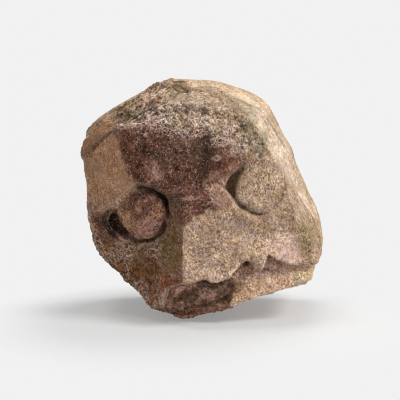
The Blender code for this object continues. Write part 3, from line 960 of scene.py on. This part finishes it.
def lace_group():
    """A fine pale net of lichen round dark pits."""
    tree, node, given, result = group_tree(
        "lichen_lace",
        (("Place", "vector", None), ("Size", "float", 0.004)),
        (("Net", "float"),),
    )
    warp = node("ShaderNodeTexNoise")
    tree.links.new(given["Place"], warp.inputs["Vector"])
    warp.inputs["Scale"].default_value = LACE_WARP_SCALE
    bent = node("ShaderNodeVectorMath", warp.outputs["Color"], (0.5, 0.5, 0.5), operation="SUBTRACT")
    bent = node("ShaderNodeVectorMath", bent.outputs[0], operation="SCALE")
    bent.inputs["Scale"].default_value = LACE_WARP
    place = node("ShaderNodeVectorMath", given["Place"], bent.outputs[0], operation="ADD").outputs[0]
    cells = node("ShaderNodeTexVoronoi", feature="DISTANCE_TO_EDGE")
    tree.links.new(place, cells.inputs["Vector"])
    tree.links.new(mathematics(node, "DIVIDE", 1.0, given["Size"]), cells.inputs["Scale"])
    net = node("ShaderNodeMapRange", cells.outputs["Distance"], *LACE_THREAD)
    tree.links.new(net.outputs["Result"], result["Net"])
    return tree


def mottle_group():
    """A darker and a lighter tone in worn patches."""
    tree, node, given, result = group_tree(
        "mottled_stone",
        (
            ("Place", "vector", None),
            ("Dark", "colour", (0, 0, 0, 1)),
            ("Light", "colour", (1, 1, 1, 1)),
            ("Scale", "float", 100.0),
        ),
        (("Color", "colour"),),
    )
    noise = tree.nodes.new("ShaderNodeTexNoise")
    tree.links.new(given["Place"], noise.inputs["Vector"])
    tree.links.new(given["Scale"], noise.inputs["Scale"])
    noise.inputs["Detail"].default_value = 4
    noise.inputs["Roughness"].default_value = 0.72
    ramp = node("ShaderNodeMapRange", noise.outputs["Fac"], *MOTTLE_EDGE)
    mix = tree.nodes.new("ShaderNodeMix")
    mix.data_type = "RGBA"
    tree.links.new(ramp.outputs["Result"], mix.inputs["Factor"])
    tree.links.new(given["Dark"], mix.inputs[6])
    tree.links.new(given["Light"], mix.inputs[7])
    tree.links.new(mix.outputs[2], result["Color"])
    return tree


def sand_grain_group():
    """Coarse sand: single pale and dark grains, and the height of the grains."""
    tree, node, given, result = group_tree(
        "sand_grain",
        (
            ("Place", "vector", None),
            ("Grain size", "float", 0.0015),
            ("Pale share", "float", 0.10),
            ("Dark share", "float", 0.14),
        ),
        (("Pale", "float"), ("Dark", "float"), ("Tone", "float"), ("Height", "float")),
    )
    cells = tree.nodes.new("ShaderNodeTexVoronoi")
    tree.links.new(given["Place"], cells.inputs["Vector"])
    tree.links.new(mathematics(node, "DIVIDE", 1.0, given["Grain size"]), cells.inputs["Scale"])
    tint = tree.nodes.new("ShaderNodeSeparateColor")
    tree.links.new(cells.outputs["Color"], tint.inputs[0])
    middle = node("ShaderNodeMapRange", cells.outputs["Distance"], *SINGLE_GRAIN).outputs["Result"]
    pale = mathematics(node, "LESS_THAN", tint.outputs[0], given["Pale share"])
    dark = mathematics(node, "LESS_THAN", tint.outputs[1], given["Dark share"])
    tree.links.new(mathematics(node, "MULTIPLY", pale, middle), result["Pale"])
    tree.links.new(mathematics(node, "MULTIPLY", dark, middle), result["Dark"])
    tree.links.new(tint.outputs[2], result["Tone"])
    height = mathematics(node, "MULTIPLY", middle, 0.6)
    height = mathematics(node, "MULTIPLY_ADD", tint.outputs[2], 0.5, height)
    tree.links.new(height, result["Height"])
    return tree


class StonePaint:
    """The stone's colour as it is laid on, layer over layer, with the patterns that the layers share."""

    def __init__(self, tree):
        self.tree = tree
        self.node = node_maker(tree)
        self.place = self.node("ShaderNodeTexCoord").outputs["Object"]
        self.apart = self.node("ShaderNodeSeparateXYZ", self.place).outputs
        self.edge_noise = self.noise_at(EDGE_SCALE, 5, 0.72)
        self.from_wall = self.stored("from_wall")
        self.near_wall = self.ranged(self.from_wall, *CUT_FACE)
        self.mottled = mottle_group()
        self.stain = stain_group()
        self.masks = {}
        self.colour = self.mottle(*BODY, BODY_SCALE)

    def math(self, operation, *values):
        return mathematics(self.node, operation, *values)

    def times(self, first, second):
        return self.math("MULTIPLY", first, second)

    def noise_at(self, scale, octaves=3, roughness=NOISE_ROUGHNESS, place=None):
        made = self.node("ShaderNodeTexNoise", self.place if place is None else place)
        made.inputs["Scale"].default_value = scale
        made.inputs["Detail"].default_value = octaves
        made.inputs["Roughness"].default_value = roughness
        return made.outputs["Fac"]

    def group(self, made_of, **values):
        made = self.node("ShaderNodeGroup")
        made.node_tree = made_of
        for name, value in values.items():
            feed(self.tree, made.inputs[name.replace("_", " ")], value)
        return made.outputs

    def stored(self, name):
        return self.node("ShaderNodeAttribute", attribute_name=name).outputs["Fac"]

    def ranged(self, value, low, high, to_low=0.0, to_high=1.0):
        return self.node("ShaderNodeMapRange", value, low, high, to_low, to_high).outputs["Result"]

    def shifted(self, value, noise, reach):
        """The value moved up and down by a noise, which makes a threshold's edge ragged."""
        return self.math("MULTIPLY_ADD", self.math("SUBTRACT", noise, 0.5), reach, value)

    def mixed(self, factor, first, second, blend="MIX"):
        made = self.node("ShaderNodeMix", data_type="RGBA", blend_type=blend)
        for index, value in ((0, factor), (6, first), (7, second)):
            feed(self.tree, made.inputs[index], (*value, 1) if isinstance(value, tuple) else value)
        return made.outputs[2]

    def mottle(self, dark, light, scale):
        return self.group(
            self.mottled,
            Place=self.place,
            Dark=(*dark, 1),
            Light=(*light, 1),
            Scale=scale,
        )["Color"]

    def cover(self, factor, colour, blend="MIX"):
        """Lays a colour over what is there, as strongly as the factor says."""
        self.colour = self.mixed(factor, self.colour, colour, blend)


def paint_tones(paint):
    """Each mark's own mottled tones, inside its ragged outline."""
    ragged = ragged_patch_group()
    for tone in TONES:
        patch = paint.group(
            ragged,
            Distance=paint.stored(tone.mark),
            Soft=tone.soft,
            Ragged=tone.ragged,
            Noise=paint.edge_noise,
        )
        paint.masks[tone.mark] = patch["Mask"]
        paint.cover(patch["Mask"], paint.mottle(tone.dark, tone.light, tone.scale))


def paint_stains(paint, spots, across, up, where):
    """Oval stains, and spots of painted shade and highlight, placed by what is measured across and up, where
    they can be seen.
    """
    seen = paint.node("ShaderNodeCombineXYZ", across, 0.0, up).outputs[0]
    for spot in spots:
        mask = paint.group(
            paint.stain,
            Place=seen,
            Middle_X=spot.x,
            Middle_Z=spot.z,
            Across=spot.across,
            Up=spot.up,
            Turn=radians(spot.turn),
            Noise=paint.edge_noise,
        )["Mask"]
        paint.cover(paint.times(paint.times(mask, where), spot.strength), spot.colour)


def paint_lichen(paint):
    """A pale net over the top, and its threads on the left cheek."""
    lace = lace_group()
    net = paint.group(lace, Place=paint.place, Size=LACE_SIZE)["Net"]
    net = paint.times(net, paint.times(paint.masks["lace"], paint.ranged(paint.edge_noise, 0.35, 0.6)))
    paint.cover(paint.times(net, LICHEN_COVER), LICHEN)
    threads = paint.group(lace, Place=paint.place, Size=THREAD_SIZE)["Net"]
    threads = paint.times(threads, paint.masks["left_cheek"])
    broken = paint.ranged(paint.noise_at(38, 2), 0.42, 0.58, 0.0, THREAD_COVER)
    paint.cover(paint.times(threads, broken), LICHEN_THREAD)


def paint_beds(paint):
    """Streaks along the beds of the broken top: dark mossy ones that stand for crevices, moss with painted
    shade, and pale ones that stand for ridges, painted highlight.
    """
    lying = paint.node("ShaderNodeVectorRotate", paint.place, rotation_type="Y_AXIS")
    lying.inputs["Angle"].default_value = BEDDING_TILT * 2
    lying = paint.node("ShaderNodeVectorMath", lying.outputs[0], BEDDING_STRETCH, operation="MULTIPLY")
    streak = paint.noise_at(BED_STREAK_SCALE, 4, 0.65, lying.outputs[0])
    on_top = paint.math("MAXIMUM", paint.masks["mossy_top"], paint.times(paint.masks["speckled_top"], 0.45))
    # Dark streaks are moss with painted crevice shade, pale streaks painted highlight on ridges.
    shaded_streaks = paint.times(paint.ranged(streak, 0.46, 0.36), on_top)
    paint.cover(paint.times(shaded_streaks, MOSSY_SHADED_COVER), MOSSY_SHADED_STREAK)
    lit_streaks = paint.times(paint.ranged(streak, 0.56, 0.66), on_top)
    paint.cover(paint.times(lit_streaks, LIT_RIDGE_COVER), LIT_RIDGE_STREAK)


def paint_sides(paint):
    """Away from the front the stone is plainer: darker on the left and paler on the right, painted shade and
    painted light as from the key light on the right.
    """
    shady = paint.mottle(*SHADY_SIDE, SHADY_SIDE_SCALE)
    sunny = paint.mottle(*SUNNY_SIDE, SUNNY_SIDE_SCALE)
    plain = paint.mixed(paint.ranged(paint.apart[0], *SHADY_TO_SUNNY), shady, sunny)
    behind = paint.shifted(paint.from_wall, paint.noise_at(30, 4), PLAIN_SIDES_RAGGED)
    paint.cover(paint.ranged(behind, *PLAIN_SIDES), plain)


def paint_dirt_shade_and_wear(paint):
    """Dirt and painted shade in hollows, worn and paler edges, painted shade and highlight on the skin's own
    relief, and painted shade in its pits.
    """
    hollow = paint.stored("hollow")
    # Darker in the hollows: dirt and painted shade.
    shade_and_dirt = paint.ranged(paint.shifted(hollow, paint.edge_noise, DIRT_AND_SHADE_RAGGED), *DIRTY_AND_SHADED)
    paint.cover(paint.times(shade_and_dirt, DIRT_AND_SHADE_COVER), DIRT_AND_SHADE)
    worn = paint.ranged(paint.shifted(hollow, paint.edge_noise, WORN_RAGGED), *WORN)
    paint.cover(paint.times(worn, WORN_COVER), WORN_EDGE)
    # Painted shade on the low grains and painted highlight on the high ones.
    lifted = paint.ranged(paint.stored("relief"), -SKIN_RELIEF, SKIN_RELIEF, *RELIEF_SHADE)
    paint.cover(1.0, lifted, "MULTIPLY")
    paint.cover(paint.ranged(paint.stored("pit"), 0.10, 0.90, 0.0, PIT_COVER), PIT_SHADE)


def grainy_places(paint):
    """How strongly single grains show, from place to place."""
    grainy = LEAST_GRAINY
    for name, amount in GRAINY:
        grainy = paint.node("ShaderNodeMix", paint.masks[name], None, grainy, amount).outputs[0]
    grainy = paint.times(grainy, paint.ranged(paint.noise_at(42), 0.36, 0.64, *GRAINY_DRIFT))
    return paint.times(grainy, paint.ranged(paint.near_wall, 0.0, 1.0, 1.0, GRAINY_ON_CUT_FACE))


def paint_grains(paint):
    """Single grains of sand, whose hue drifts between ochre and lilac. Gives back the grains' height."""
    grains = paint.group(
        sand_grain_group(),
        Place=paint.place,
        Grain_size=GRAIN_SIZE,
        Pale_share=PALE_SHARE,
        Dark_share=DARK_SHARE,
    )
    fleck = paint.times(grains["Tone"], 0.55)
    fleck = paint.math("MULTIPLY_ADD", paint.noise_at(FLECK_SCALE, 2, 0.8), 0.9, fleck)
    fleck = paint.mixed(paint.ranged(fleck, 0.40, 1.04), FLECK_DARK, FLECK_LIGHT)
    paint.cover(grainy_places(paint), fleck, "MULTIPLY")
    drift = paint.ranged(paint.noise_at(75), 0.36, 0.64)
    paint.cover(1.0, paint.mixed(drift, OCHRE_DRIFT, LILAC_DRIFT), "MULTIPLY")
    paint.cover(1.0, paint.mixed(grains["Tone"], WARM_GRAIN, COOL_GRAIN), "MULTIPLY")

    # The darkest and the palest grains, and crystals that glint in the forehead's patina.
    sooty = paint.ranged(paint.noise_at(130), 0.40, 0.60, *SOOTY_COVER)
    paint.cover(paint.times(grains["Dark"], sooty), DARK_GRAIN)
    clump = paint.ranged(paint.noise_at(220, 2), 0.35, 0.6)
    paint.cover(paint.times(grains["Pale"], paint.math("MULTIPLY_ADD", clump, 0.5, 0.25)), PALE_GRAIN)
    crystals = paint.ranged(paint.noise_at(480, 2, 0.75), 0.575, 0.66)
    crystals = paint.times(crystals, paint.times(paint.masks["forehead_patina"], clump))
    paint.cover(paint.times(crystals, CRYSTAL_COVER), CRYSTAL)
    return grains["Height"]


def sandstone_material():
    """Weathered sandstone: its layers of colour from the tones up to the single grains, and a fine bump."""
    material = bpy.data.materials.new("weathered_sandstone")
    material.use_nodes = True
    tree = material.node_tree
    shader = tree.nodes["Principled BSDF"]
    shader.inputs["Roughness"].default_value = STONE_ROUGHNESS
    shader.inputs["Specular IOR Level"].default_value = STONE_SHEEN
    paint = StonePaint(tree)
    paint_tones(paint)
    on_front = paint.ranged(paint.from_wall, *STAINED_FRONT)
    paint_stains(paint, STAINS, paint.stored("seen_x"), paint.stored("seen_z"), on_front)
    paint_lichen(paint)
    paint_beds(paint)
    paint_sides(paint)
    on_top = paint.ranged(paint.apart[2], *BROKEN_TOP)
    paint_stains(paint, TOP_STAINS, paint.apart[0], paint.apart[1], on_top)
    paint.cover(paint.near_wall, paint.mottle(*CUT_STONE, CUT_STONE_SCALE))
    paint_dirt_shade_and_wear(paint)
    grain_height = paint_grains(paint)
    tree.links.new(paint.colour, shader.inputs["Base Color"])

    bump = paint.node("ShaderNodeBump")
    bump.inputs["Strength"].default_value = GRAIN_BUMP_STRENGTH
    bump.inputs["Distance"].default_value = GRAIN_BUMP
    height = paint.math("MULTIPLY_ADD", paint.noise_at(420, 3, 0.7), 1.6, grain_height)
    tree.links.new(height, bump.inputs["Height"])
    tree.links.new(bump.outputs[0], shader.inputs["Normal"])
    return material


def weathered_stone_head():
    skin = bare_skin()
    mark_skin(skin)
    weathering = skin.modifiers.new("weathered_surface", "NODES")
    weathering.node_group = weathering_tree()
    items = weathering.node_group.interface.items_tree
    sockets = {item.name: item.identifier for item in items if item.in_out == "INPUT"}
    weathering[sockets["Stone"]] = sandstone_material()
    applied(skin)
    triangles = sum(len(face.vertices) - 2 for face in skin.data.polygons)
    if triangles > KEPT_TRIANGLES:
        fewer = skin.modifiers.new("fewer_faces", "DECIMATE")
        fewer.ratio = KEPT_TRIANGLES / triangles
        applied(skin)
    skin.data.shade_smooth()
    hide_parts(STONE_NODE)
    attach(skin, "root")
    return skin


def photo_camera():
    right, up, back = camera_axes()
    camera = object_of("camera", bpy.data.cameras.new("camera"))
    eye = CAMERA_AIM + back * CAMERA_DISTANCE
    camera.matrix_world = Matrix([[right[i], up[i], back[i], eye[i]] for i in range(3)] + [[0, 0, 0, 1]])
    camera.data.lens = CAMERA_LENS
    bpy.context.scene.camera = camera


def pale_floor(stone):
    """A pale floor, level in the leaning camera, that the stone's lowest point rests on.

    It fades into the room away from the stone and isn't seen from below.
    """
    right, up, back = camera_axes()
    tip = radians(FLOOR_RISE)
    upwards = (cos(tip) * up + sin(tip) * back).normalized()
    lowest = (points_of(stone.data) @ np.array(upwards)).min()
    centre = CAMERA_AIM - upwards * (CAMERA_AIM.dot(upwards) - lowest)
    mesh = bpy.data.meshes.new("pale_floor")
    work = bmesh.new()
    bmesh.ops.create_circle(work, cap_ends=True, segments=FLOOR_SIDES, radius=FLOOR_RADIUS)
    turn = upwards.to_track_quat("Z", "Y").to_matrix().to_4x4()
    bmesh.ops.transform(work, matrix=Matrix.Translation(centre) @ turn, verts=work.verts)
    work.to_mesh(mesh)
    work.free()
    floor = object_of("pale_floor", mesh)
    material = bpy.data.materials.new("pale_floor")
    material.use_nodes = True
    tree = material.node_tree
    node = node_maker(tree)
    shader = tree.nodes["Principled BSDF"]
    shader.inputs["Base Color"].default_value = (FLOOR_GREY, FLOOR_GREY, FLOOR_GREY, 1)
    shader.inputs["Emission Color"].default_value = (1, 1, 1, 1)
    shader.inputs["Emission Strength"].default_value = FLOOR_GLOW
    shader.inputs["Roughness"].default_value = FLOOR_ROUGHNESS
    shader.inputs["Specular IOR Level"].default_value = FLOOR_SHEEN
    place = node("ShaderNodeTexCoord").outputs["Object"]
    from_stone = node("ShaderNodeVectorMath", place, tuple(centre), operation="DISTANCE").outputs["Value"]
    fade = node("ShaderNodeMapRange", from_stone, *FLOOR_FADE, interpolation_type="SMOOTHSTEP")
    behind = node("ShaderNodeNewGeometry").outputs["Backfacing"]
    clear = mathematics(node, "MAXIMUM", fade.outputs["Result"], behind)
    mix = node("ShaderNodeMixShader", clear, shader.outputs[0], node("ShaderNodeBsdfTransparent").outputs[0])
    tree.links.new(mix.outputs[0], tree.nodes["Material Output"].inputs["Surface"])
    mesh.materials.append(material)
    return floor


def softbox(light):
    """An area light at a place given as right, up and back of the camera, aimed at the head."""
    right, up, back = camera_axes()
    area = bpy.data.lights.new(light.name, "AREA")
    area.shape = "DISK"
    area.size = light.size
    area.energy = light.power
    lamp = object_of(light.name, area)
    lamp.location = LIGHT_AIM + right * light.place[0] + up * light.place[1] + back * light.place[2]
    lamp.rotation_mode = "QUATERNION"
    lamp.rotation_quaternion = (lamp.location - LIGHT_AIM).to_track_quat("Z", "Y")


def studio():
    """Soft lights in a pale room, which the camera sees paler than it lights the stone."""
    world = bpy.data.worlds.new("studio")
    world.use_nodes = True
    node = node_maker(world.node_tree)
    background = world.node_tree.nodes["Background"]
    seen = node("ShaderNodeLightPath").outputs["Is Camera Ray"]
    strength = node("ShaderNodeMapRange", seen, 0.0, 1.0, ROOM_LIGHT, PALE_GREY)
    world.node_tree.links.new(strength.outputs["Result"], background.inputs["Strength"])
    background.inputs["Color"].default_value = (1, 1, 1, 1)
    bpy.context.scene.world = world
    bpy.context.scene.view_settings.view_transform = "Standard"
    bpy.context.scene.cycles.filter_width = PIXEL_FILTER
    for light in LIGHTS:
        softbox(light)


stone = weathered_stone_head()
photo_camera()
pale_floor(stone)
studio()
